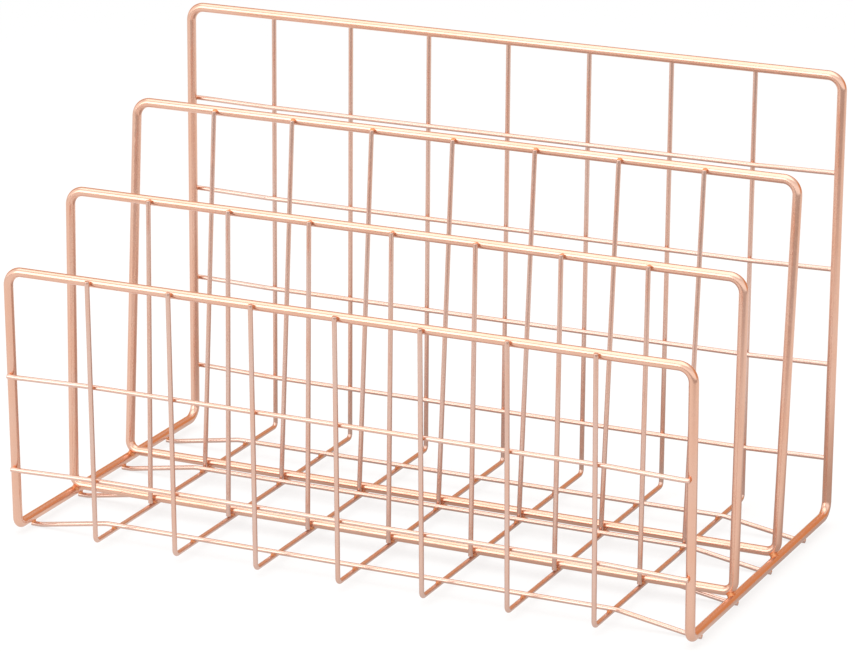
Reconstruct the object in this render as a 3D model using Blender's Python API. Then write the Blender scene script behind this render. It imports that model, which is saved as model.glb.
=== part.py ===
"""Desk file organizer: a welded wire rack with three slots between four panels that rise to the rear.

Metres, +Z up, the front towards -Y. The origin is on the desk, midway across the width and the depth.
"""

import math

import bmesh
import bpy
from mathutils import Matrix, Vector

# Wire stock.
FRAME_WIRE = 0.0045  # diameter of the heavy wire that the frames are bent from
MESH_WIRE = 0.0023  # diameter of the thin wire that fills the panels and the base
WELD_GAP = 0.0003  # clearance between two wires that are welded together

# Plan of the rack, along the centre lines of the outer frame.
FRAME_WIDTH = 0.340  # left uprights to right uprights
FRONT_SLOT = 0.0532  # front panel to second panel, along the side rails
MIDDLE_SLOT = 0.0552  # second panel to third panel
REAR_SLOT = 0.0686  # third panel to back panel

# Length of each panel, from the side rails up to its top rail.
FRONT_RISE = 0.1257
SECOND_RISE = 0.1496
THIRD_RISE = 0.1782
BACK_RISE = 0.2131

# Lean of each panel in degrees, with the top to the rear where it is positive.
FRONT_LEAN = -1.0
SECOND_LEAN = 1.4
THIRD_LEAN = 4.8
BACK_LEAN = 0.8

# Bend radii on the centre line of the wire.
TOP_BEND = 0.007  # upper corners of all the frames
FRONT_FOOT_BEND = 0.004  # front uprights into the side rails
BACK_FOOT_BEND = 0.007  # side rails into the back uprights
DIVIDER_FOOT_BEND = 0.005  # lower corners of the second and third frames
U_BEND = 0.0025  # lower corners of the U-wires
JOG_BEND = 0.02  # the two bends that set the end of a cross wire aside

# Thin wires.
WIRES_ACROSS = 7  # U-wires, and the uprights of each divider behind them
END_BAY = 0.044  # outermost thin wire to the heavy uprights
FRONT_TOP_LAP = 0.0015  # ends of the U-wires above the centre line of the front top rail
BACK_TOP_LAP = 0.0012  # the same at the back top rail
SECOND_TOP_LAP = 0.001  # the same for the uprights of the second divider
THIRD_TOP_LAP = 0.0004  # the same for the uprights of the third divider

# Cross wires.
FRONT_CROSS_COUNT = 2
FRONT_CROSS_START = 0.029  # side rails to the lowest cross wire, up the front panel
FRONT_TOP_BAY = 0.0506  # highest cross wire to the front top rail
BACK_CROSS_COUNT = 4
BACK_CROSS_START = 0.0264
BACK_TOP_BAY = 0.0471
BASE_FRONT_BAY = 0.0135  # front panel to the first base cross wire
BASE_BACK_BAY = 0.03  # last base cross wire to the back panel
SECOND_CLEARANCE = 0.0016  # bottom rail of the second divider to the wire behind it
THIRD_CLEARANCE = 0.001  # feet of the third divider's uprights to the wire in front of them
CROSS_LAP = 0.0045  # straight end of a cross wire, inward from the heavy wire that it laps
CROSS_JOG = 0.036  # length over which that end steps aside
CROSS_PAST = 0.0004  # end of a cross wire past the middle of the heavy wire

# Fineness of the solids.
FRAME_SIDES = 12
MESH_SIDES = 8
BEND_STEP = 15.0  # degrees of bend in one step
CLOSING_TOLERANCE = 0.00001  # joins the two ends of a closed loop

# Finish: copper plating, a little lighter on the thin wire.
FRAME_COLOUR = (0.74, 0.44, 0.31)
MESH_COLOUR = (0.72, 0.46, 0.35)
PLATING_ROUGHNESS = 0.28

# Values that follow from the ones above.
FRAME_RADIUS = FRAME_WIRE / 2
MESH_RADIUS = MESH_WIRE / 2
HALF_WIDTH = FRAME_WIDTH / 2
LAP = FRAME_RADIUS + WELD_GAP + MESH_RADIUS  # centre lines of a thin wire welded onto a heavy one
CROSSING = MESH_WIRE + WELD_GAP  # centre lines of two thin wires welded where they cross
RAIL_LEVEL = MESH_WIRE + WELD_GAP + FRAME_RADIUS  # the side rails lie on the ends of the base wires
SECOND_DEPTH = FRONT_SLOT
THIRD_DEPTH = SECOND_DEPTH + MIDDLE_SLOT
BACK_DEPTH = THIRD_DEPTH + REAR_SLOT
# A divider stands with its rounded lower corners on the side rails.
CORNER_SEAT = DIVIDER_FOOT_BEND + FRAME_WIRE + WELD_GAP
DIVIDER_FOOT = math.sqrt(CORNER_SEAT**2 - DIVIDER_FOOT_BEND**2) - DIVIDER_FOOT_BEND
RUN_LEVEL = RAIL_LEVEL + DIVIDER_FOOT - LAP  # base runs of the U-wires, under the dividers
BASE_CROSS_LEVEL = RUN_LEVEL + CROSSING
BASE_END_LEVEL = RAIL_LEVEL - LAP


def clear_scene():
    for old in list(bpy.data.objects):
        bpy.data.objects.remove(old, do_unlink=True)


def plating(name, colour):
    material = bpy.data.materials.new(name)
    material.use_nodes = True
    shader = material.node_tree.nodes["Principled BSDF"]
    shader.inputs["Base Color"].default_value = (*colour, 1.0)
    shader.inputs["Metallic"].default_value = 1.0
    shader.inputs["Roughness"].default_value = PLATING_ROUGHNESS
    return material


def panel_matrix(depth, lean):
    """Frame of a panel: local Z runs up the panel from the side rails, and local Y to the rear."""
    tilt = Matrix.Rotation(math.radians(-lean), 4, "X")
    return Matrix.Translation((0.0, depth, RAIL_LEVEL)) @ tilt


def at_level(panel, offset, level):
    """The point in the middle of a panel's width, off its plane by the offset, at a level above the desk."""
    foot = panel @ Vector((0.0, offset, 0.0))
    up = panel.to_3x3() @ Vector((0.0, 0.0, 1.0))
    return foot + up * ((level - foot.z) / up.z)


def first_ring(bm, start, heading, diameter, sides):
    """The section that a wire starts from, with flats that face along the panel's own axes."""
    side = Vector((0.0, 1.0, 0.0)) if abs(heading.x) > 0.5 else Vector((1.0, 0.0, 0.0))
    axes = Matrix((side, heading.cross(side), heading)).transposed().to_4x4()
    flats = Matrix.Rotation(math.pi / sides, 4, "Z")
    made = bmesh.ops.create_circle(
        bm,
        cap_ends=False,
        segments=sides,
        radius=diameter / 2 / math.cos(math.pi / sides),
        matrix=Matrix.Translation(start) @ axes @ flats,
    )
    return list({edge for vert in made["verts"] for edge in vert.link_edges})


def draw_out(bm, ring, offset):
    """Extrudes a straight run and returns its end ring."""
    made = bmesh.ops.extrude_edge_only(bm, edges=ring)["geom"]
    verts = [item for item in made if isinstance(item, bmesh.types.BMVert)]
    bmesh.ops.translate(bm, verts=verts, vec=offset)
    return [item for item in made if isinstance(item, bmesh.types.BMEdge) and item.is_boundary]


def bend(bm, ring, centre, axis, angle):
    """Spins a bend and returns its end ring."""
    verts = list({vert for edge in ring for vert in edge.verts})
    made = bmesh.ops.spin(
        bm,
        geom=verts + ring,
        cent=centre,
        axis=axis,
        angle=angle,
        steps=max(2, round(math.degrees(angle) / BEND_STEP)),
    )
    return [item for item in made["geom_last"] if isinstance(item, bmesh.types.BMEdge)]


def wire_mesh(name, diameter, sides, line):
    """A round wire bent along a line of (corner, bend radius), closed where it ends at its start."""
    corners = [Vector(corner) for corner, radius in line]
    closed = (corners[-1] - corners[0]).length < CLOSING_TOLERANCE
    bm = bmesh.new()
    place = corners[0]
    heading = (corners[1] - place).normalized()
    ring = first_ring(bm, place, heading, diameter, sides)
    for index in range(1, len(line) - 1):
        onward = (corners[index + 1] - corners[index]).normalized()
        radius = line[index][1]
        angle = heading.angle(onward)
        setback = radius * math.tan(angle / 2)
        bend_start = corners[index] - heading * setback
        ring = draw_out(bm, ring, bend_start - place)
        axis = heading.cross(onward).normalized()
        ring = bend(bm, ring, bend_start + axis.cross(heading) * radius, axis, angle)
        place = corners[index] + onward * setback
        heading = onward
    draw_out(bm, ring, corners[-1] - place)
    if closed:
        bmesh.ops.remove_doubles(bm, verts=bm.verts, dist=CLOSING_TOLERANCE)
    else:
        bmesh.ops.holes_fill(bm, edges=bm.edges, sides=sides)
    bmesh.ops.recalc_face_normals(bm, faces=bm.faces)
    mesh = bpy.data.meshes.new(name)
    bm.to_mesh(mesh)
    bm.free()
    mesh.shade_smooth()
    mesh.set_sharp_from_angle(angle=math.radians(50.0))
    return mesh


def add_empty(name, matrix, parent=None):
    empty = bpy.data.objects.new(name, None)
    empty.parent = parent
    empty.matrix_basis = matrix
    bpy.context.collection.objects.link(empty)
    return empty


def add_wire(name, mesh, material, parent, location=(0.0, 0.0, 0.0), tilt=0.0):
    wire = bpy.data.objects.new(name, mesh)
    wire.parent = parent
    wire.location = location
    wire.rotation_euler.x = tilt
    if not mesh.materials:
        mesh.materials.append(material)
    bpy.context.collection.objects.link(wire)


def spread(count, first, last):
    """Evenly spaced places from the first to the last."""
    return [first + (last - first) * index / (count - 1) for index in range(count)]


def outer_frame_mesh(front, back):
    """The closed loop of heavy wire, from the middle of the back top rail round to it again."""
    middle = back @ Vector((0.0, 0.0, BACK_RISE))
    half = []
    for corner, radius in (
        (back @ Vector((HALF_WIDTH, 0.0, BACK_RISE)), TOP_BEND),
        (back @ Vector((HALF_WIDTH, 0.0, 0.0)), BACK_FOOT_BEND),
        (front @ Vector((HALF_WIDTH, 0.0, 0.0)), FRONT_FOOT_BEND),
        (front @ Vector((HALF_WIDTH, 0.0, FRONT_RISE)), TOP_BEND),
    ):
        half.append((corner, radius))
    mirrored = [(Vector((-corner.x, corner.y, corner.z)), radius) for corner, radius in reversed(half)]
    line = [(middle, 0.0), *half, *mirrored, (middle, 0.0)]
    return wire_mesh("outer_frame", FRAME_WIRE, FRAME_SIDES, line)


def divider_frame_mesh(name, rise):
    """A closed rectangle in its panel's own frame, from the middle of its bottom rail."""
    start = (0.0, 0.0, DIVIDER_FOOT)
    line = [
        (start, 0.0),
        ((HALF_WIDTH, 0.0, DIVIDER_FOOT), DIVIDER_FOOT_BEND),
        ((HALF_WIDTH, 0.0, rise), TOP_BEND),
        ((-HALF_WIDTH, 0.0, rise), TOP_BEND),
        ((-HALF_WIDTH, 0.0, DIVIDER_FOOT), DIVIDER_FOOT_BEND),
        (start, 0.0),
    ]
    return wire_mesh(name, FRAME_WIRE, FRAME_SIDES, line)


def u_wire_mesh(front, back):
    """Down the front of the front panel, along the base and up the rear of the back panel."""
    line = [
        (front @ Vector((0.0, -LAP, FRONT_RISE + FRONT_TOP_LAP)), 0.0),
        (at_level(front, -LAP, RUN_LEVEL), U_BEND),
        (at_level(back, LAP, RUN_LEVEL), U_BEND),
        (back @ Vector((0.0, LAP, BACK_RISE + BACK_TOP_LAP)), 0.0),
    ]
    return wire_mesh("u_wire", MESH_WIRE, MESH_SIDES, line)


def divider_wire_mesh(name, rise, top_lap):
    """A straight upright that spans a divider's frame from under its bottom rail to its top rail."""
    foot = DIVIDER_FOOT - FRAME_RADIUS
    line = [((0.0, -LAP, foot), 0.0), ((0.0, -LAP, rise + top_lap), 0.0)]
    return wire_mesh(name, MESH_WIRE, MESH_SIDES, line)


def cross_wire_mesh(name, jog):
    """A wire along X with both ends set aside along Y, to lap the heavy wires there."""
    end = HALF_WIDTH + CROSS_PAST
    outer = HALF_WIDTH - CROSS_LAP
    inner = outer - CROSS_JOG
    line = [
        ((-end, jog, 0.0), 0.0),
        ((-outer, jog, 0.0), JOG_BEND),
        ((-inner, 0.0, 0.0), JOG_BEND),
        ((inner, 0.0, 0.0), JOG_BEND),
        ((outer, jog, 0.0), JOG_BEND),
        ((end, jog, 0.0), 0.0),
    ]
    return wire_mesh(name, MESH_WIRE, MESH_SIDES, line)


def build():
    clear_scene()
    heavy = plating("frame_plating", FRAME_COLOUR)
    thin = plating("mesh_plating", MESH_COLOUR)

    front = panel_matrix(0.0, FRONT_LEAN)
    back = panel_matrix(BACK_DEPTH, BACK_LEAN)
    front_reach = front @ Vector((0.0, -LAP - MESH_RADIUS, FRONT_RISE + FRONT_TOP_LAP))
    back_reach = back @ Vector((0.0, LAP + MESH_RADIUS, BACK_RISE + BACK_TOP_LAP))
    middle = (front_reach.y + back_reach.y) / 2
    rack = add_empty("rack", Matrix.Translation((0.0, -middle, 0.0)))
    front_panel = add_empty("front_panel", front, rack)
    back_panel = add_empty("back_panel", back, rack)
    second_panel = add_empty("second_panel", panel_matrix(SECOND_DEPTH, SECOND_LEAN), rack)
    third_panel = add_empty("third_panel", panel_matrix(THIRD_DEPTH, THIRD_LEAN), rack)

    add_wire("outer_frame", outer_frame_mesh(front, back), heavy, rack)
    across = spread(WIRES_ACROSS, END_BAY - HALF_WIDTH, HALF_WIDTH - END_BAY)
    mesh = u_wire_mesh(front, back)
    for number, x in enumerate(across, start=1):
        add_wire(f"u_wire_{number}", mesh, thin, rack, (x, 0.0, 0.0))

    for order, panel, rise, top_lap in (
        ("second", second_panel, SECOND_RISE, SECOND_TOP_LAP),
        ("third", third_panel, THIRD_RISE, THIRD_TOP_LAP),
    ):
        frame_name = f"{order}_divider_frame"
        add_wire(frame_name, divider_frame_mesh(frame_name, rise), heavy, panel)
        mesh = divider_wire_mesh(f"{order}_divider_wire", rise, top_lap)
        for number, x in enumerate(across, start=1):
            add_wire(f"{order}_divider_wire_{number}", mesh, thin, panel, (x, 0.0, 0.0))

    mesh = cross_wire_mesh("front_cross_wire", -CROSSING)
    rises = spread(FRONT_CROSS_COUNT, FRONT_CROSS_START, FRONT_RISE - FRONT_TOP_BAY)
    for number, rise in enumerate(rises, start=1):
        add_wire(f"front_cross_wire_{number}", mesh, thin, front_panel, (0.0, CROSSING - LAP, rise))

    mesh = cross_wire_mesh("back_cross_wire", CROSSING)
    rises = spread(BACK_CROSS_COUNT, BACK_CROSS_START, BACK_RISE - BACK_TOP_BAY)
    for number, rise in enumerate(rises, start=1):
        add_wire(f"back_cross_wire_{number}", mesh, thin, back_panel, (0.0, LAP - CROSSING, rise))

    # The base wires are turned so that their ends step down instead of forward.
    mesh = cross_wire_mesh("base_cross_wire", BASE_END_LEVEL - BASE_CROSS_LEVEL)
    depths = (
        BASE_FRONT_BAY,
        SECOND_DEPTH + FRAME_RADIUS + SECOND_CLEARANCE + MESH_RADIUS,
        THIRD_DEPTH - LAP - MESH_RADIUS - THIRD_CLEARANCE - MESH_RADIUS,
        BACK_DEPTH - BASE_BACK_BAY,
    )
    for number, depth in enumerate(depths, start=1):
        place = (0.0, depth, BASE_CROSS_LEVEL)
        add_wire(f"base_cross_wire_{number}", mesh, thin, rack, place, math.radians(90.0))


build()
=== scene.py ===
"""Looks of a desk file organizer: plated wires and their welds, on a pale studio floor."""

import math

import bmesh
import bpy
from mathutils import Matrix, Vector
from mathutils.kdtree import KDTree


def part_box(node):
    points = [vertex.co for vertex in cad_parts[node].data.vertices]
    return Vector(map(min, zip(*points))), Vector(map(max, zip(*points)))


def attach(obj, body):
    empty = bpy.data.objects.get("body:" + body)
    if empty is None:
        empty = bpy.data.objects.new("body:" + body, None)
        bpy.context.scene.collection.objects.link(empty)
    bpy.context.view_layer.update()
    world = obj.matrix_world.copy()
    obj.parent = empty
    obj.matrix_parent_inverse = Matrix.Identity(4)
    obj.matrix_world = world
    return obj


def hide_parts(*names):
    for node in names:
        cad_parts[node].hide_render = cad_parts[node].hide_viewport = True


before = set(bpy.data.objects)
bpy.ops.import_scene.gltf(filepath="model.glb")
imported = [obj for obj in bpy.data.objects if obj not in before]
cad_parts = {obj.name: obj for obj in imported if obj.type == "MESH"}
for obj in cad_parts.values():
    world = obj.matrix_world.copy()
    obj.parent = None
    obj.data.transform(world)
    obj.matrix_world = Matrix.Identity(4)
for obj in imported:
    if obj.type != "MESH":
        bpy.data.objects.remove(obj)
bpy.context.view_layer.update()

bl_info = {
    "name": "Wire File Rack",
    "version": (1, 0, 0),
    "blender": (4, 5, 0),
    "location": "3D View > Sidebar > File Rack",
    "description": "Models a welded, copper-plated wire file rack around its packed solids",
    "category": "Add Mesh",
}

BODY = "root"
# Attribute that says how much the welds heated a wire.
HEAT = "heat"
# How far a wire may lie off its solid, and the least space between two rings of a wire.
FIT_TOLERANCE = 0.0006
RING_SPACE = 0.0003
# A wire whose ends are this near to each other is closed, and its points this near are merged.
CLOSED_GAP = 0.000001
MERGE_GAP = 0.00001
# A wire that heads more than this along X has its section set out from Y, and any other from X.
MOSTLY_ALONG_X = 0.5
# Fewest steps in a bend, and steps in the rounding of a cut end.
LEAST_BEND_STEPS = 3
END_STEPS = 3
# Rings that a weld adds to the wire it heats, over its reach to both sides.
HEAT_RINGS = 7
# How far inside the heavy wire's middle the end of a cross wire is welded.
END_WELD_INSET = 0.0005
# A unit weld's radius and half height, its waist against its ends, its unevenness and the seed of that.
WELD_HALF = 1.0
WELD_WAIST = 0.9
WELD_UNEVEN = 0.04
WELD_SEED = 3
# Edges that turn by more than this stay sharp.
WIRE_SMOOTH_ANGLE = math.radians(35.0)
WELD_SMOOTH_ANGLE = math.radians(50.0)
# Most values of a noise lie between these two, so a look is spread over them.
NOISE_RANGE = (0.3, 0.7)
# Levels of detail in the noise of the warm patches, the uneven gloss and the fine grain.
PATCH_DETAIL = 3.0
GLOSS_DETAIL = 4.0
GRAIN_DETAIL = 2.0
# Width of the camera's sensor in millimetres, and the nearest and farthest that it sees in metres.
SENSOR_WIDTH = 36.0
CAMERA_RANGE = (0.01, 50.0)
# Y of a direction where the front wall of the room passes into the rear wall.
WALL_TURN = (-0.2, 0.5)
# Z of a direction where a wall passes into the ceiling.
CEILING_TURN = (0.45, 0.75)
# Distance from the middle of the painted shade under the rack, in its half sizes: full shade to none.
PAINTED_SHADE_EDGE = (0.5, 1.25)


# Kinds of setting, each with its label, its default and its description.
def length(label, default, words):
    return bpy.props.FloatProperty(
        name=label, description=words, default=default, unit="LENGTH", precision=5
    )


def angle(label, degrees, words):
    return bpy.props.FloatProperty(
        name=label, description=words, default=math.radians(degrees), subtype="ANGLE"
    )


def colour(label, default, words):
    return bpy.props.FloatVectorProperty(
        name=label, description=words, default=default, subtype="COLOR", size=3, min=0.0, max=1.0
    )


def amount(label, default, words):
    return bpy.props.FloatProperty(name=label, description=words, default=default, min=0.0)


def radii(label, default, words):
    return bpy.props.FloatVectorProperty(
        name=label, description=words, default=default, size=3, unit="LENGTH", precision=5
    )


def position(label, default, words):
    return bpy.props.FloatVectorProperty(
        name=label, description=words, default=default, size=3, subtype="TRANSLATION", unit="LENGTH"
    )


def number(label, default, words):
    return bpy.props.IntProperty(name=label, description=words, default=default, min=1)


class RackSizes(bpy.types.PropertyGroup):
    """Sizes of the rack, the same as those of its solids."""

    frame_wire: length("Frame wire", 0.0045, "Diameter of the heavy wire of the frames")
    mesh_wire: length("Mesh wire", 0.0023, "Diameter of the thin wire of the panels and the base")
    weld_gap: length("Weld gap", 0.0003, "Clearance between two wires that a weld joins")
    frame_width: length("Frame width", 0.340, "Left uprights to right uprights")
    front_slot: length("Front slot", 0.0532, "Front panel to second panel")
    middle_slot: length("Middle slot", 0.0552, "Second panel to third panel")
    rear_slot: length("Rear slot", 0.0686, "Third panel to back panel")
    front_rise: length("Front rise", 0.1257, "Side rails to the front top rail")
    second_rise: length("Second rise", 0.1496, "Side rails to the second top rail")
    third_rise: length("Third rise", 0.1782, "Side rails to the third top rail")
    back_rise: length("Back rise", 0.2131, "Side rails to the back top rail")
    front_lean: angle("Front lean", -1.0, "Lean of the front panel to the rear")
    second_lean: angle("Second lean", 1.4, "Lean of the second panel to the rear")
    third_lean: angle("Third lean", 4.8, "Lean of the third panel to the rear")
    back_lean: angle("Back lean", 0.8, "Lean of the back panel to the rear")
    top_bend: length("Top bend", 0.007, "Upper corners of all the frames")
    front_foot_bend: length("Front foot bend", 0.004, "Front uprights into the side rails")
    back_foot_bend: length("Back foot bend", 0.007, "Side rails into the back uprights")
    divider_foot_bend: length("Divider foot bend", 0.005, "Lower corners of the dividers")
    u_bend: length("U bend", 0.0025, "Lower corners of the U-wires")
    jog_bend: length("Jog bend", 0.02, "Bends that set the ends of the cross wires aside")
    wires_across: number("Wires across", 7, "U-wires, and uprights of each divider")
    end_bay: length("End bay", 0.044, "Outermost thin wire to the heavy uprights")
    front_top_lap: length("Front top lap", 0.0015, "Ends of the U-wires above the front rail's middle")
    back_top_lap: length("Back top lap", 0.0012, "Ends of the U-wires above the back rail's middle")
    second_top_lap: length("Second top lap", 0.001, "Ends of the uprights above the second rail's middle")
    third_top_lap: length("Third top lap", 0.0004, "Ends of the uprights above the third rail's middle")
    front_cross_count: number("Front cross wires", 2, "Cross wires on the front panel")
    front_cross_start: length("Front cross start", 0.029, "Side rails to the lowest front cross wire")
    front_top_bay: length("Front top bay", 0.0506, "Highest front cross wire to the top rail")
    back_cross_count: number("Back cross wires", 4, "Cross wires on the back panel")
    back_cross_start: length("Back cross start", 0.0264, "Side rails to the lowest back cross wire")
    back_top_bay: length("Back top bay", 0.0471, "Highest back cross wire to the top rail")
    base_front_bay: length("Base front bay", 0.0135, "Front panel to the first base cross wire")
    base_back_bay: length("Base back bay", 0.03, "Last base cross wire to the back panel")
    second_clearance: length("Second clearance", 0.0016, "Second bottom rail to the wire behind it")
    third_clearance: length("Third clearance", 0.001, "Feet of the third uprights to the wire before them")
    cross_lap: length("Cross lap", 0.0045, "Straight end of a cross wire")
    cross_jog: length("Cross jog", 0.036, "Length over which that end steps aside")
    cross_past: length("Cross past", 0.0004, "End of a cross wire past the heavy wire's middle")


class WireFineness(bpy.types.PropertyGroup):
    """How finely the wires and the welds are modelled."""

    frame_sides: number("Frame sides", 32, "Sides of the heavy wire's section")
    mesh_sides: number("Mesh sides", 20, "Sides of the thin wire's section")
    steps_per_turn: number("Steps per turn", 80, "Steps that a full turn of bend would take")
    end_round: length("End round", 0.0002, "Rounding of the cut ends under the plating")
    heat_reach: length("Heat reach", 0.0042, "How far from a weld the plating is tinted")
    weld_sides: number("Weld sides", 16, "Sides of a weld")
    thin_on_heavy: radii("Thin on heavy", (0.00125, 0.0011, 0.0009), "Weld of a thin wire on a heavy one")
    thin_on_thin: radii("Thin on thin", (0.00105, 0.00105, 0.0008), "Weld of two thin wires")
    heavy_on_heavy: radii("Heavy on heavy", (0.0026, 0.0019, 0.0013), "Weld of a divider on a side rail")


class PlatingLook(bpy.types.PropertyGroup):
    """Colours and gloss of the copper plating."""

    frame_colour: colour("Frame plating", (0.77, 0.495, 0.385), "Rose copper of the heavy wire")
    mesh_colour: colour("Mesh plating", (0.71, 0.51, 0.435), "Rose copper of the thin wire")
    warm_colour: colour("Warm patches", (0.76, 0.41, 0.27), "Plating where it lies thicker")
    weld_colour: colour("Weld tint", (0.78, 0.32, 0.13), "Heat tint of the welds")
    frame_patches: amount("Frame patches", 0.5, "Most that the warm patches show on the heavy wire")
    mesh_patches: amount("Mesh patches", 0.4, "Most that the warm patches show on the thin wire")
    weld_patches: amount("Weld patches", 0.35, "Most that the warm patches show on the welds")
    patch_size: length("Patch size", 0.026, "Size of the warm patches")
    heat_tint: amount("Heat tint", 0.35, "Most that the weld tint shows on a heated wire")
    roughness: amount("Roughness", 0.2, "Roughness of the plating")
    weld_roughness: amount("Weld roughness", 0.4, "Roughness of the welds")
    uneven: amount("Uneven gloss", 0.03, "How much the roughness goes up and down")
    uneven_size: length("Uneven size", 0.0024, "Size of the spots of uneven gloss")
    grain: amount("Grain", 0.01, "Strength of the fine grain in the plating")
    weld_grain: amount("Weld grain", 0.3, "Strength of the fine grain on the welds")
    grain_size: length("Grain size", 0.0004, "Size of the fine grain")
    grain_depth: length("Grain depth", 0.00003, "Depth of the fine grain")


class StudioSetting(bpy.types.PropertyGroup):
    """Camera, floor and soft lights."""

    camera_place: position("Camera place", (0.75971, -1.62738, 0.66378), "Where the camera stands")
    camera_turn: bpy.props.FloatVectorProperty(
        name="Camera turn",
        description="Rotation of the camera",
        default=[math.radians(value) for value in (72.5901, -0.0841, 25.0059)],
        subtype="EULER",
    )
    lens: amount("Lens", 169.727, "Focal length in millimetres on a 36 mm wide sensor")
    floor_size: length("Floor size", 40.0, "Side of the floor")
    shadow_share: amount("Shadow share", 0.25, "How much of the shadow the floor keeps")
    shadow_start: length("Shadow start", 0.4, "Distance from the middle at which the shadow starts to fade")
    shadow_end: length("Shadow end", 1.2, "Distance at which the floor is plain white")
    ceiling_light: amount("Ceiling light", 1.1, "Brightness of the soft light overhead")
    ceiling_light_place: position("Ceiling light place", (-0.1, -0.1, 1.5), "Where that light hangs")
    ceiling_light_size: length("Ceiling light size", 1.8, "Side of that light")
    front_light: amount("Front light", 1.55, "Brightness of the soft light at the front left")
    front_light_place: position("Front light place", (-0.9, -1.75, 0.75), "Where that light stands")
    front_light_size: length("Front light size", 1.3, "Side of that light")
    light_target: position("Light target", (0.0, 0.0, 0.12), "Point that both lights face")
    room_light: amount("Room light", 1.35, "Brightness of the room all round")
    paper_colour: colour("Floor paper", (0.92, 0.92, 0.92), "Floor that the shadow falls on")
    mirrored_white: amount("Mirrored white", 0.5, "Share of white in the floor that the plating mirrors")
    floor_colour: colour("Mirrored floor", (0.78, 0.78, 0.78), "The rest of the floor that it mirrors")
    # Painted shade in the floor that only the plating mirrors: a dark patch under the rack, and a darker
    # part far off at the front right.
    painted_shade_colour: colour("Floor under the rack", (0.16, 0.08, 0.05), "The same in the shade of the rack")
    painted_shade_place: position("Place under the rack", (0.08, 0.10, 0.0), "Middle of that shade")
    painted_shade_size: position("Size under the rack", (0.27, 0.20, 1.0), "Half sizes of that shade")
    far_turn: angle("Far turn", 32.0, "Way in which that floor darkens, from the front to the right")
    far_start: length("Far start", 0.46, "Distance that way at which it starts to darken")
    far_end: length("Far end", 0.66, "Distance at which it is at its darkest")
    painted_far_shade_colour: colour("Far floor", (0.10, 0.03, 0.01), "Its colour there")
    rear_wall: colour("Rear wall", (0.60, 0.31, 0.15), "Colour of the room behind the rack")
    ceiling: colour("Ceiling", (0.75, 0.75, 0.75), "Colour of the room overhead")
    front_wall: colour("Front wall", (0.94, 0.98, 1.0), "Colour of the room before the rack")


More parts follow.
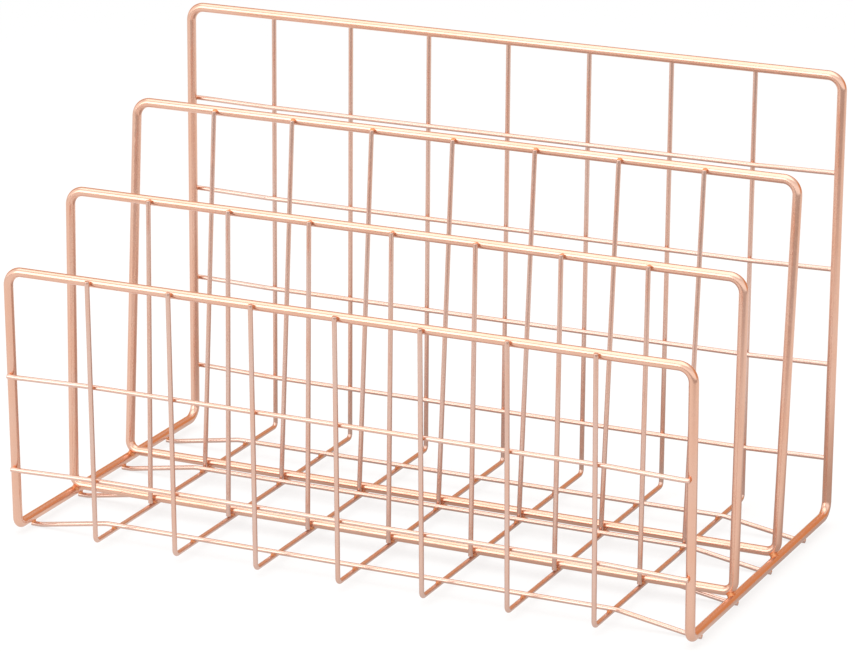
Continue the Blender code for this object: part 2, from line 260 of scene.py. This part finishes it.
class Layout:
    """Where everything lies, worked out from the sizes."""

    def __init__(self, sizes):
        self.frame_radius = sizes.frame_wire / 2
        self.mesh_radius = sizes.mesh_wire / 2
        self.half_width = sizes.frame_width / 2
        self.lap = self.frame_radius + sizes.weld_gap + self.mesh_radius
        self.crossing = sizes.mesh_wire + sizes.weld_gap
        self.rail_level = sizes.mesh_wire + sizes.weld_gap + self.frame_radius
        foot_bend = sizes.divider_foot_bend
        corner_seat = foot_bend + sizes.frame_wire + sizes.weld_gap
        self.divider_foot = math.sqrt(corner_seat**2 - foot_bend**2) - foot_bend
        self.run_level = self.rail_level + self.divider_foot - self.lap
        self.base_cross_level = self.run_level + self.crossing
        self.base_end_level = self.rail_level - self.lap

        second = sizes.front_slot
        third = second + sizes.middle_slot
        back = third + sizes.rear_slot
        reach = self.lap + self.mesh_radius
        front_top = Vector((0.0, -reach, sizes.front_rise + sizes.front_top_lap))
        back_top = Vector((0.0, reach, sizes.back_rise + sizes.back_top_lap))
        front_end = self.panel(0.0, sizes.front_lean) @ front_top
        back_end = self.panel(back, sizes.back_lean) @ back_top
        shift = -(front_end.y + back_end.y) / 2
        self.front_depth = shift
        self.second_depth = second + shift
        self.third_depth = third + shift
        self.back_depth = back + shift
        self.front = self.panel(self.front_depth, sizes.front_lean)
        self.second = self.panel(self.second_depth, sizes.second_lean)
        self.third = self.panel(self.third_depth, sizes.third_lean)
        self.back = self.panel(self.back_depth, sizes.back_lean)

        outermost = self.half_width - sizes.end_bay
        self.across = spread(sizes.wires_across, -outermost, outermost)
        highest_front = sizes.front_rise - sizes.front_top_bay
        highest_back = sizes.back_rise - sizes.back_top_bay
        self.front_rises = spread(sizes.front_cross_count, sizes.front_cross_start, highest_front)
        self.back_rises = spread(sizes.back_cross_count, sizes.back_cross_start, highest_back)
        self.base_depths = (
            self.front_depth + sizes.base_front_bay,
            self.second_depth + self.frame_radius + sizes.second_clearance + self.mesh_radius,
            self.third_depth - self.lap - sizes.mesh_wire - sizes.third_clearance,
            self.back_depth - sizes.base_back_bay,
        )

    def panel(self, depth, lean):
        """Frame of a panel: local Z runs up the panel from the side rails, and local Y to the rear."""
        return Matrix.Translation((0.0, depth, self.rail_level)) @ Matrix.Rotation(-lean, 4, "X")

    def at_level(self, panel, offset, level):
        """The point in the middle of a panel, off its plane by the offset, at a level above the desk."""
        foot = panel @ Vector((0.0, offset, 0.0))
        up = panel.to_3x3() @ Vector((0.0, 0.0, 1.0))
        return foot + up * ((level - foot.z) / up.z)

    def welds(self, sizes):
        """Places of all the welds, by panel and kind: local Z runs from one wire to the other."""
        x_axis, y_axis, z_axis = Vector((1, 0, 0)), Vector((0, 1, 0)), Vector((0, 0, 1))
        on_heavy = self.frame_radius + sizes.weld_gap / 2
        on_thin = self.mesh_radius + sizes.weld_gap / 2
        lay = self.lap - self.crossing
        sides = (-self.half_width, self.half_width)
        ends = (END_WELD_INSET - self.half_width, self.half_width - END_WELD_INSET)
        found = []

        def weld(group, kind, panel, point, normal, along):
            axes = Matrix((along, normal.cross(along), normal)).transposed().to_4x4()
            found.append((group, kind, panel @ Matrix.Translation(point) @ axes))

        for group, panel, rise, rises, way in (
            ("front", self.front, sizes.front_rise, self.front_rises, -1.0),
            ("back", self.back, sizes.back_rise, self.back_rises, 1.0),
        ):
            out = y_axis * way
            for x in self.across:
                weld(group, "thin_on_heavy", panel, (x, way * on_heavy, rise), out, z_axis)
                for cross in rises:
                    weld(group, "thin_on_thin", panel, (x, way * (lay + on_thin), cross), out, z_axis)
            for x in ends:
                for cross in rises:
                    weld(group, "thin_on_heavy", panel, (x, way * on_heavy, cross), out, x_axis)

        level = Matrix.Identity(4)
        for depth in self.base_depths:
            for x in self.across:
                weld("base", "thin_on_thin", level, (x, depth, self.run_level + on_thin), z_axis, x_axis)
            for x in ends:
                weld("base", "thin_on_heavy", level, (x, depth, self.rail_level - on_heavy), -z_axis, x_axis)

        for group, panel, rise in (
            ("second", self.second, sizes.second_rise),
            ("third", self.third, sizes.third_rise),
        ):
            for x in self.across:
                for height in (self.divider_foot, rise):
                    weld(group, "thin_on_heavy", panel, (x, -on_heavy, height), -y_axis, z_axis)
                weld(group, "thin_on_heavy", panel, (x, 0.0, self.divider_foot - on_heavy), -z_axis, y_axis)
            seat = math.atan2(sizes.divider_foot_bend + self.divider_foot, sizes.divider_foot_bend)
            for x in sides:
                normal = Vector((-math.copysign(math.cos(seat), x), 0.0, math.sin(seat)))
                point = Vector((x, 0.0, 0.0)) + normal * on_heavy
                weld(group, "heavy_on_heavy", panel, point, normal, y_axis)
        return found

    def weld_points(self, sizes, panel):
        """All the welds as points in the frame of a panel."""
        into = panel.inverted()
        return [into @ place.translation for group, kind, place in self.welds(sizes)]


def spread(count, first, last):
    """Evenly spaced places from the first to the last."""
    steps = max(count - 1, 1)
    return [first + (last - first) * index / steps for index in range(count)]


def draw_out(start, end, welds, fineness):
    """Extrudes the selected section along a straight run, with closer rings where a weld heats it."""
    run = end - start
    heading = run.normalized()
    stops = []
    for weld in welds:
        along = (weld - start).dot(heading)
        if (weld - start - heading * along).length < fineness.heat_reach:
            offsets = spread(HEAT_RINGS, -fineness.heat_reach, fineness.heat_reach)
            stops += [along + offset for offset in offsets]
    place = 0.0
    for stop in sorted(stops):
        if place + RING_SPACE < stop < run.length - RING_SPACE:
            bpy.ops.mesh.extrude_region_move(TRANSFORM_OT_translate={"value": heading * (stop - place)})
            place = stop
    bpy.ops.mesh.extrude_region_move(TRANSFORM_OT_translate={"value": heading * (run.length - place)})


def heat_near(wire, welds, reach):
    """Marks how much each point of a wire was heated by its nearest weld, eased over the reach."""
    tree = KDTree(len(welds))
    for index, weld in enumerate(welds):
        tree.insert(weld, index)
    tree.balance()
    heat = wire.data.attributes.new(HEAT, "FLOAT", "POINT")
    for index, vertex in enumerate(wire.data.vertices):
        near = 1.0 - min(1.0, tree.find(vertex.co)[2] / reach)
        heat.data[index].value = near * near * (3.0 - 2.0 * near)


def bend_on(centre, axis, turn, steps_per_turn):
    """Spins the selected section round a bend."""
    steps = max(LEAST_BEND_STEPS, round(steps_per_turn * turn / math.tau))
    bpy.ops.mesh.spin(steps=steps, angle=-turn, center=centre, axis=axis)


def round_ends(sides, end_round):
    """Closes both ends of an open wire and rounds their rims."""
    bpy.ops.mesh.select_all(action="SELECT")
    bpy.ops.mesh.fill_holes(sides=0)
    bpy.ops.mesh.select_mode(type="FACE")
    bpy.ops.mesh.select_all(action="DESELECT")
    bm = bmesh.from_edit_mesh(bpy.context.object.data)
    for face in bm.faces:
        face.select_set(len(face.verts) == sides)
    bmesh.update_edit_mesh(bpy.context.object.data)
    bpy.ops.mesh.bevel(offset=end_round, segments=END_STEPS, affect="EDGES")
    bpy.ops.mesh.select_mode(type="VERT")


def bend_wire(name, diameter, sides, line, welds, fineness):
    """Bends a round wire along a line of (corner, bend radius), closed where it ends at its start."""
    corners = [Vector(corner) for corner, radius in line]
    closed = (corners[-1] - corners[0]).length < CLOSED_GAP
    place = corners[0]
    heading = (corners[1] - place).normalized()
    along_x = abs(heading.x) > MOSTLY_ALONG_X
    side = Vector((0.0, 1.0, 0.0)) if along_x else Vector((1.0, 0.0, 0.0))
    section = Matrix((side, heading.cross(side), heading)).transposed()
    bpy.ops.object.select_all(action="DESELECT")
    bpy.ops.mesh.primitive_circle_add(
        vertices=sides,
        radius=diameter / 2,
        fill_type="NOTHING",
        enter_editmode=True,
        location=place,
        rotation=section.to_euler(),
    )
    wire = bpy.context.object
    wire.name = name
    wire.data.name = name
    bpy.ops.mesh.select_mode(type="VERT")
    for index in range(1, len(line) - 1):
        onward = (corners[index + 1] - corners[index]).normalized()
        radius = line[index][1]
        turn = heading.angle(onward)
        setback = radius * math.tan(turn / 2)
        bend_start = corners[index] - heading * setback
        draw_out(place, bend_start, welds, fineness)
        axis = heading.cross(onward).normalized()
        bend_on(bend_start + axis.cross(heading) * radius, axis, turn, fineness.steps_per_turn)
        place = corners[index] + onward * setback
        heading = onward
    draw_out(place, corners[-1], welds, fineness)
    if closed:
        bpy.ops.mesh.select_all(action="SELECT")
        bpy.ops.mesh.remove_doubles(threshold=MERGE_GAP)
    else:
        round_ends(sides, fineness.end_round)
    bpy.ops.mesh.select_all(action="SELECT")
    bpy.ops.mesh.normals_make_consistent(inside=False)
    bpy.ops.object.mode_set(mode="OBJECT")
    bpy.ops.object.transform_apply(location=True, rotation=True, scale=True)
    bpy.ops.object.shade_smooth_by_angle(angle=WIRE_SMOOTH_ANGLE)
    heat_near(wire, welds, fineness.heat_reach)
    return wire


def heavy_wire(scene, name, line, welds):
    """A wire of the frames."""
    fineness = scene.wire_fineness
    return bend_wire(name, scene.rack_sizes.frame_wire, fineness.frame_sides, line, welds, fineness)


def thin_wire(scene, name, line, welds):
    """A wire of the panels and the base."""
    fineness = scene.wire_fineness
    return bend_wire(name, scene.rack_sizes.mesh_wire, fineness.mesh_sides, line, welds, fineness)


def copy_of(piece, name):
    """A copy with its own mesh."""
    twin = piece.copy()
    twin.data = piece.data.copy()
    twin.name = name
    twin.data.name = name
    bpy.context.collection.objects.link(twin)
    return twin


def stand_in_for(piece, node, material):
    """Puts a finished wire in its node's place, or stops where it isn't where the node is."""
    points = [vertex.co for vertex in piece.data.vertices]
    low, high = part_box(node)
    for axis in range(3):
        off_low = min(point[axis] for point in points) - low[axis]
        off_high = max(point[axis] for point in points) - high[axis]
        if max(abs(off_low), abs(off_high)) > FIT_TOLERANCE:
            raise RuntimeError(f"{piece.name} is off its solid by {off_low:.5f} and {off_high:.5f} m")
    piece.data.materials.clear()
    piece.data.materials.append(material)
    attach(piece, BODY)
    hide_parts(node)


def set_copies(model, node, places, look):
    """Copies a thin wire to each of its places, where it stands in for a node, and removes the model."""
    for index, place in enumerate(places, start=1):
        wire = copy_of(model, f"{model.name}_{index}")
        wire.data.transform(place)
        stand_in_for(wire, f"{node}_{index}", mesh_plating(look))
    bpy.data.objects.remove(model)


def add_node(tree, kind, place, **values):
    """A new node at its place in the tree, with its own values set."""
    node = tree.nodes.new(kind)
    node.location = place
    for key, value in values.items():
        setattr(node, key, value)
    return node


def noise(tree, coordinates, place, size, detail):
    """A cloud of spots of about the given size."""
    texture = add_node(tree, "ShaderNodeTexNoise", place)
    texture.inputs["Scale"].default_value = 1.0 / size
    texture.inputs["Detail"].default_value = detail
    tree.links.new(coordinates, texture.inputs["Vector"])
    return texture.outputs["Fac"]


def ranged(tree, value, place, span, result, interpolation="LINEAR"):
    """A value spread from one range to another."""
    node = add_node(tree, "ShaderNodeMapRange", place, interpolation_type=interpolation)
    node.inputs["From Min"].default_value, node.inputs["From Max"].default_value = span
    node.inputs["To Min"].default_value, node.inputs["To Max"].default_value = result
    tree.links.new(value, node.inputs["Value"])
    return node.outputs["Result"]


def eased(tree, value, place, span, result=(0.0, 1.0)):
    """The same, with a smooth start and end."""
    return ranged(tree, value, place, span, result, "SMOOTHSTEP")


def distance(tree, vector, place):
    """How far a point lies from the middle."""
    node = add_node(tree, "ShaderNodeVectorMath", place, operation="LENGTH")
    tree.links.new(vector, node.inputs[0])
    return node.outputs["Value"]


def blend(tree, share, place, first, second):
    """A mix of two colours, each a fixed one or a node's output."""
    node = add_node(tree, "ShaderNodeMix", place, data_type="RGBA")
    tree.links.new(share, node.inputs["Factor"])
    for socket, value in (("A", first), ("B", second)):
        if isinstance(value, bpy.types.NodeSocket):
            tree.links.new(value, node.inputs[socket])
        else:
            node.inputs[socket].default_value = (*value, 1.0)
    return node.outputs["Result"]


def laid_over(tree, share, place, first, second):
    """A mix of two shaders, by a fixed share of the second one or by a node's output."""
    node = add_node(tree, "ShaderNodeMixShader", place)
    if isinstance(share, bpy.types.NodeSocket):
        tree.links.new(share, node.inputs["Fac"])
    else:
        node.inputs["Fac"].default_value = share
    tree.links.new(first, node.inputs[1])
    tree.links.new(second, node.inputs[2])
    return node.outputs["Shader"]


def plated(name, look, main, patch_share, tint_share, roughness, grain):
    """Copper plating: faint warm patches, heat tint by the welds, uneven gloss and a fine grain."""
    found = bpy.data.materials.get(name)
    if found:
        return found
    material = bpy.data.materials.new(name)
    material.use_nodes = True
    tree = material.node_tree
    shader = tree.nodes["Principled BSDF"]
    coordinates = add_node(tree, "ShaderNodeTexCoord", (-1100, 0)).outputs["Object"]

    patches = noise(tree, coordinates, (-880, 250), look.patch_size, PATCH_DETAIL)
    share = ranged(tree, patches, (-660, 250), NOISE_RANGE, (0.0, patch_share))
    patched = blend(tree, share, (-420, 250), main, look.warm_colour)
    heat = add_node(tree, "ShaderNodeAttribute", (-660, 550), attribute_name=HEAT)
    heat_share = ranged(tree, heat.outputs["Fac"], (-420, 550), (0.0, 1.0), (0.0, tint_share))
    tinted = blend(tree, heat_share, (-200, 350), patched, look.weld_colour)
    tree.links.new(tinted, shader.inputs["Base Color"])

    gloss = noise(tree, coordinates, (-880, -50), look.uneven_size, GLOSS_DETAIL)
    gloss_range = (roughness - look.uneven, roughness + look.uneven)
    spots = ranged(tree, gloss, (-660, -50), NOISE_RANGE, gloss_range)
    tree.links.new(spots, shader.inputs["Roughness"])

    fine = noise(tree, coordinates, (-880, -350), look.grain_size, GRAIN_DETAIL)
    bump = add_node(tree, "ShaderNodeBump", (-420, -350))
    bump.inputs["Strength"].default_value = grain
    bump.inputs["Distance"].default_value = look.grain_depth
    tree.links.new(fine, bump.inputs["Height"])
    tree.links.new(bump.outputs["Normal"], shader.inputs["Normal"])

    shader.inputs["Metallic"].default_value = 1.0
    return material


def frame_plating(look):
    """Finish of the heavy wire."""
    return plated(
        "heavy_wire_plating",
        look,
        main=look.frame_colour,
        patch_share=look.frame_patches,
        tint_share=look.heat_tint,
        roughness=look.roughness,
        grain=look.grain,
    )


def mesh_plating(look):
    """Finish of the thin wire."""
    return plated(
        "thin_wire_plating",
        look,
        main=look.mesh_colour,
        patch_share=look.mesh_patches,
        tint_share=look.heat_tint,
        roughness=look.roughness,
        grain=look.grain,
    )


def weld_finish(look):
    """Finish of the welds, which have the weld tint all over."""
    return plated(
        "weld_heat_tint",
        look,
        main=look.weld_colour,
        patch_share=look.weld_patches,
        tint_share=0.0,
        roughness=look.weld_roughness,
        grain=look.weld_grain,
    )


class RACK_OT_outer_frame(bpy.types.Operator):
    """Bend the closed loop of heavy wire that carries the rack"""

    bl_idname = "rack.outer_frame"
    bl_label = "Outer Frame"

    def execute(self, context):
        sizes = context.scene.rack_sizes
        at = Layout(sizes)
        middle = at.back @ Vector((0.0, 0.0, sizes.back_rise))
        half = [
            (at.back @ Vector((at.half_width, 0.0, sizes.back_rise)), sizes.top_bend),
            (at.back @ Vector((at.half_width, 0.0, 0.0)), sizes.back_foot_bend),
            (at.front @ Vector((at.half_width, 0.0, 0.0)), sizes.front_foot_bend),
            (at.front @ Vector((at.half_width, 0.0, sizes.front_rise)), sizes.top_bend),
        ]
        mirrored = [(Vector((-corner.x, corner.y, corner.z)), radius) for corner, radius in reversed(half)]
        line = [(middle, 0.0), *half, *mirrored, (middle, 0.0)]
        welds = at.weld_points(sizes, Matrix.Identity(4))
        wire = heavy_wire(context.scene, "heavy_outer_frame", line, welds)
        stand_in_for(wire, "outer_frame", frame_plating(context.scene.plating_look))
        return {"FINISHED"}


class RACK_OT_dividers(bpy.types.Operator):
    """Bend the second and third frames and set their thin uprights on them"""

    bl_idname = "rack.dividers"
    bl_label = "Dividers"

    def execute(self, context):
        sizes = context.scene.rack_sizes
        at = Layout(sizes)
        self.divider(context.scene, at, "second", at.second, sizes.second_rise, sizes.second_top_lap)
        self.divider(context.scene, at, "third", at.third, sizes.third_rise, sizes.third_top_lap)
        return {"FINISHED"}

    def divider(self, scene, at, order, panel, rise, top_lap):
        """A closed frame, and thin uprights on its front face, bent upright and then leaned."""
        sizes = scene.rack_sizes
        look = scene.plating_look
        start = Vector((0.0, 0.0, at.divider_foot))
        line = [
            (start, 0.0),
            ((at.half_width, 0.0, at.divider_foot), sizes.divider_foot_bend),
            ((at.half_width, 0.0, rise), sizes.top_bend),
            ((-at.half_width, 0.0, rise), sizes.top_bend),
            ((-at.half_width, 0.0, at.divider_foot), sizes.divider_foot_bend),
            (start, 0.0),
        ]
        welds = at.weld_points(sizes, panel)
        loop = heavy_wire(scene, f"heavy_{order}_frame", line, welds)
        loop.data.transform(panel)
        stand_in_for(loop, f"{order}_divider_frame", frame_plating(look))

        first = at.across[0]
        foot = at.divider_foot - at.frame_radius
        line = [((first, -at.lap, foot), 0.0), ((first, -at.lap, rise + top_lap), 0.0)]
        model = thin_wire(scene, f"thin_{order}_upright", line, welds)
        places = [panel @ Matrix.Translation((x - first, 0.0, 0.0)) for x in at.across]
        set_copies(model, f"{order}_divider_wire", places, look)


class RACK_OT_u_wires(bpy.types.Operator):
    """Bend one U-wire and copy it across the rack"""

    bl_idname = "rack.u_wires"
    bl_label = "U-Wires"

    def execute(self, context):
        sizes = context.scene.rack_sizes
        at = Layout(sizes)
        places = [Matrix.Translation((x, 0.0, 0.0)) for x in at.across]
        line = [
            (at.front @ Vector((0.0, -at.lap, sizes.front_rise + sizes.front_top_lap)), 0.0),
            (at.at_level(at.front, -at.lap, at.run_level), sizes.u_bend),
            (at.at_level(at.back, at.lap, at.run_level), sizes.u_bend),
            (at.back @ Vector((0.0, at.lap, sizes.back_rise + sizes.back_top_lap)), 0.0),
        ]
        welds = at.weld_points(sizes, places[0])
        model = thin_wire(context.scene, "thin_u_wire", line, welds)
        set_copies(model, "u_wire", places, context.scene.plating_look)
        return {"FINISHED"}


class RACK_OT_cross_wires(bpy.types.Operator):
    """Bend the cross wires of the front, the back and the base, with their ends set aside"""

    bl_idname = "rack.cross_wires"
    bl_label = "Cross Wires"

    def execute(self, context):
        at = Layout(context.scene.rack_sizes)
        lay = at.lap - at.crossing
        places = [at.front @ Matrix.Translation((0.0, -lay, rise)) for rise in at.front_rises]
        self.row(context.scene, at, "front", -at.crossing, places)
        places = [at.back @ Matrix.Translation((0.0, lay, rise)) for rise in at.back_rises]
        self.row(context.scene, at, "back", at.crossing, places)
        down = Matrix.Rotation(math.radians(90.0), 4, "X")
        places = [Matrix.Translation((0.0, depth, at.base_cross_level)) @ down for depth in at.base_depths]
        self.row(context.scene, at, "base", at.base_end_level - at.base_cross_level, places)
        return {"FINISHED"}

    def row(self, scene, at, side, jog, places):
        """Like cross wires of one side, with both ends set aside by the jog along local Y."""
        sizes = scene.rack_sizes
        end = at.half_width + sizes.cross_past
        outer = at.half_width - sizes.cross_lap
        inner = outer - sizes.cross_jog
        line = [
            ((-end, jog, 0.0), 0.0),
            ((-outer, jog, 0.0), sizes.jog_bend),
            ((-inner, 0.0, 0.0), sizes.jog_bend),
            ((inner, 0.0, 0.0), sizes.jog_bend),
            ((outer, jog, 0.0), sizes.jog_bend),
            ((end, jog, 0.0), 0.0),
        ]
        welds = at.weld_points(sizes, places[0])
        model = thin_wire(scene, f"thin_{side}_cross", line, welds)
        set_copies(model, f"{side}_cross_wire", places, scene.plating_look)


class RACK_OT_welds(bpy.types.Operator):
    """Model one weld and set it at every crossing"""

    bl_idname = "rack.welds"
    bl_label = "Welds"

    def execute(self, context):
        sizes = context.scene.rack_sizes
        fineness = context.scene.wire_fineness
        finish = weld_finish(context.scene.plating_look)
        model = self.weld_model(fineness.weld_sides)
        welds = Layout(sizes).welds(sizes)
        for group in ("front", "back", "base", "second", "third"):
            places = []
            for owner, kind, place in welds:
                if owner == group:
                    places.append(place @ Matrix.Diagonal((*getattr(fineness, kind), 1.0)))
            self.set_welds(model, f"{group}_welds", places, finish)
        bpy.data.objects.remove(model)
        return {"FINISHED"}

    def weld_model(self, sides):
        """A unit weld: a short drum with a drawn-in waist, upright along Z."""
        bpy.ops.object.select_all(action="DESELECT")
        bpy.ops.mesh.primitive_cylinder_add(
            vertices=sides, radius=WELD_HALF, depth=2 * WELD_HALF, enter_editmode=True
        )
        model = bpy.context.object
        bpy.ops.mesh.select_mode(type="EDGE")
        bpy.ops.mesh.select_all(action="DESELECT")
        bm = bmesh.from_edit_mesh(model.data)
        for edge in bm.edges:
            edge.select_set(abs(edge.verts[0].co.z - edge.verts[1].co.z) > WELD_HALF)
        bmesh.update_edit_mesh(model.data)
        bpy.ops.mesh.subdivide(number_cuts=1)
        bpy.ops.mesh.select_mode(type="VERT")
        bpy.ops.mesh.select_all(action="DESELECT")
        bm = bmesh.from_edit_mesh(model.data)
        for vertex in bm.verts:
            vertex.select_set(abs(vertex.co.z) < WELD_HALF / 2)
        bmesh.update_edit_mesh(model.data)
        bpy.ops.transform.resize(
            value=(WELD_WAIST, WELD_WAIST, 1.0), center_override=(0.0, 0.0, 0.0)
        )
        bpy.ops.mesh.select_all(action="SELECT")
        bpy.ops.transform.vertex_random(offset=WELD_UNEVEN, uniform=1.0, seed=WELD_SEED)
        bpy.ops.mesh.normals_make_consistent(inside=False)
        bpy.ops.object.mode_set(mode="OBJECT")
        bpy.ops.object.shade_smooth_by_angle(angle=WELD_SMOOTH_ANGLE)
        return model

    def set_welds(self, model, name, places, finish):
        """One piece of all the welds of a panel."""
        bpy.ops.object.select_all(action="DESELECT")
        for place in places:
            weld = copy_of(model, name)
            weld.data.transform(place)
            weld.select_set(True)
        bpy.context.view_layer.objects.active = weld
        bpy.ops.object.join()
        weld.name = name
        weld.data.name = name
        weld.data.materials.clear()
        weld.data.materials.append(finish)
        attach(weld, BODY)


class RACK_OT_studio(bpy.types.Operator):
    """Set up the camera, the pale floor and the soft lights"""

    bl_idname = "rack.studio"
    bl_label = "Studio"

    def execute(self, context):
        setting = context.scene.studio_setting
        context.scene.view_settings.view_transform = "Standard"
        self.camera(context, setting)
        self.floor(setting)
        self.room(context, setting)
        for name in ("ceiling_light", "front_light"):
            self.soft_light(setting, name)
        return {"FINISHED"}

    def camera(self, context, setting):
        """A camera at the photograph's viewing angle."""
        bpy.ops.object.camera_add(location=setting.camera_place, rotation=setting.camera_turn)
        camera = context.object
        camera.name = "camera"
        camera.data.sensor_fit = "HORIZONTAL"
        camera.data.sensor_width = SENSOR_WIDTH
        camera.data.lens = setting.lens
        camera.data.clip_start, camera.data.clip_end = CAMERA_RANGE
        context.scene.camera = camera

    def floor(self, setting):
        """A white floor that keeps the rack's shadow, and that the plating mirrors with painted shade."""
        bpy.ops.object.select_all(action="DESELECT")
        bpy.ops.mesh.primitive_plane_add(size=setting.floor_size)
        floor = bpy.context.object
        floor.name = "studio_floor"
        material = bpy.data.materials.new("studio_floor")
        material.use_nodes = True
        tree = material.node_tree
        tree.nodes.clear()
        path = add_node(tree, "ShaderNodeLightPath", (-480, 550))
        place = add_node(tree, "ShaderNodeTexCoord", (-1300, 0)).outputs["Object"]

        white = add_node(tree, "ShaderNodeEmission", (0, 150)).outputs["Emission"]
        seen = self.seen_floor(tree, setting, place, path.outputs["Is Camera Ray"], white)
        mirrored = self.mirrored_floor(tree, setting, place, white)

        by_mirror = add_node(tree, "ShaderNodeMath", (250, 500), operation="MAXIMUM")
        tree.links.new(path.outputs["Is Glossy Ray"], by_mirror.inputs[0])
        tree.links.new(path.outputs["Is Transmission Ray"], by_mirror.inputs[1])
        surface = laid_over(tree, by_mirror.outputs["Value"], (500, 100), seen, mirrored)
        out = add_node(tree, "ShaderNodeOutputMaterial", (750, 100))
        tree.links.new(surface, out.inputs["Surface"])
        floor.data.materials.append(material)

    def seen_floor(self, tree, setting, place, by_camera, white):
        """Paper that keeps the shadow: part white to the camera near the rack, and all white far off."""
        paper = add_node(tree, "ShaderNodeBsdfDiffuse", (0, 300))
        paper.inputs["Color"].default_value = (*setting.paper_colour, 1.0)
        from_middle = distance(tree, place, (-900, 300))
        edge = (setting.shadow_start, setting.shadow_end)
        plain = eased(tree, from_middle, (-700, 300), edge, (1.0 - setting.shadow_share, 1.0))
        share = add_node(tree, "ShaderNodeMath", (0, 500), operation="MULTIPLY")
        tree.links.new(by_camera, share.inputs[0])
        tree.links.new(plain, share.inputs[1])
        return laid_over(tree, share.outputs["Value"], (250, 300), paper.outputs["BSDF"], white)

    def mirrored_floor(self, tree, setting, place, white):
        """A floor that is part white, and otherwise has painted shade under the rack and far off at the
        front right.
        """
        # Painted shade under the rack: a dark patch that only the plating mirrors.
        centred = add_node(tree, "ShaderNodeMapping", (-1100, -100), vector_type="TEXTURE")
        centred.inputs["Location"].default_value = setting.painted_shade_place
        centred.inputs["Scale"].default_value = setting.painted_shade_size
        tree.links.new(place, centred.inputs["Vector"])
        from_painted_shade = distance(tree, centred.outputs["Vector"], (-900, -100))
        out_of_painted_shade = eased(tree, from_painted_shade, (-700, -100), PAINTED_SHADE_EDGE)
        shade = blend(tree, out_of_painted_shade, (-480, -100), setting.painted_shade_colour, setting.floor_colour)

        # Painted shade far off at the front right, which the plating mirrors as dark streaks on the
        # uprights.
        ahead = add_node(tree, "ShaderNodeVectorMath", (-900, -350), operation="DOT_PRODUCT")
        ahead.inputs[1].default_value = (math.sin(setting.far_turn), -math.cos(setting.far_turn), 0.0)
        tree.links.new(place, ahead.inputs[0])
        far = eased(tree, ahead.outputs["Value"], (-700, -350), (setting.far_start, setting.far_end))
        tint = blend(tree, far, (-240, -100), shade, setting.painted_far_shade_colour)

        floor = add_node(tree, "ShaderNodeBsdfDiffuse", (0, -100))
        tree.links.new(tint, floor.inputs["Color"])
        return laid_over(tree, setting.mirrored_white, (250, -50), floor.outputs["BSDF"], white)

    def room(self, context, setting):
        """A plain room of light: pale before the rack and overhead, warm behind it."""
        world = bpy.data.worlds.new("studio_room")
        context.scene.world = world
        world.use_nodes = True
        tree = world.node_tree
        backdrop = tree.nodes["Background"]
        toward = add_node(tree, "ShaderNodeTexCoord", (-1100, 0)).outputs["Generated"]
        split = add_node(tree, "ShaderNodeSeparateXYZ", (-900, 0))
        tree.links.new(toward, split.inputs["Vector"])
        side = eased(tree, split.outputs["Y"], (-700, -150), WALL_TURN)
        wall = blend(tree, side, (-480, -150), setting.front_wall, setting.rear_wall)
        rise = eased(tree, split.outputs["Z"], (-700, 150), CEILING_TURN)
        room = blend(tree, rise, (-240, 0), wall, setting.ceiling)
        tree.links.new(room, backdrop.inputs["Color"])
        backdrop.inputs["Strength"].default_value = setting.room_light

    def soft_light(self, setting, name):
        """A square soft light that faces the rack, with the power of a matt square of its brightness."""
        place = getattr(setting, f"{name}_place")
        size = getattr(setting, f"{name}_size")
        facing = (Vector(setting.light_target) - Vector(place)).to_track_quat("-Z", "Y")
        bpy.ops.object.light_add(type="AREA", location=place, rotation=facing.to_euler())
        light = bpy.context.object
        light.name = name
        light.data.shape = "SQUARE"
        light.data.size = size
        light.data.energy = getattr(setting, name) * math.pi * size * size


class RACK_PT_panel(bpy.types.Panel):
    """Builds the rack piece by piece"""

    bl_label = "Wire File Rack"
    bl_idname = "RACK_PT_panel"
    bl_space_type = "VIEW_3D"
    bl_region_type = "UI"
    bl_category = "File Rack"

    def draw(self, context):
        for operator in OPERATORS:
            self.layout.operator(operator.bl_idname)
        for group in GROUPS:
            box = self.layout.box()
            settings = getattr(context.scene, group)
            for key in settings.bl_rna.properties.keys():
                if key not in {"rna_type", "name"}:
                    box.prop(settings, key)


OPERATORS = (
    RACK_OT_studio,
    RACK_OT_outer_frame,
    RACK_OT_dividers,
    RACK_OT_u_wires,
    RACK_OT_cross_wires,
    RACK_OT_welds,
)
GROUPS = {
    "rack_sizes": RackSizes,
    "wire_fineness": WireFineness,
    "plating_look": PlatingLook,
    "studio_setting": StudioSetting,
}


def register():
    for group, kind in GROUPS.items():
        bpy.utils.register_class(kind)
        setattr(bpy.types.Scene, group, bpy.props.PointerProperty(type=kind))
    for kind in (*OPERATORS, RACK_PT_panel):
        bpy.utils.register_class(kind)


def unregister():
    for kind in reversed((*OPERATORS, RACK_PT_panel)):
        bpy.utils.unregister_class(kind)
    for group, kind in GROUPS.items():
        delattr(bpy.types.Scene, group)
        bpy.utils.unregister_class(kind)


def main():
    register()
    bpy.ops.rack.studio()
    bpy.ops.rack.outer_frame()
    bpy.ops.rack.dividers()
    bpy.ops.rack.u_wires()
    bpy.ops.rack.cross_wires()
    bpy.ops.rack.welds()
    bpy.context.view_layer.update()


if __name__ == "__main__":
    main()
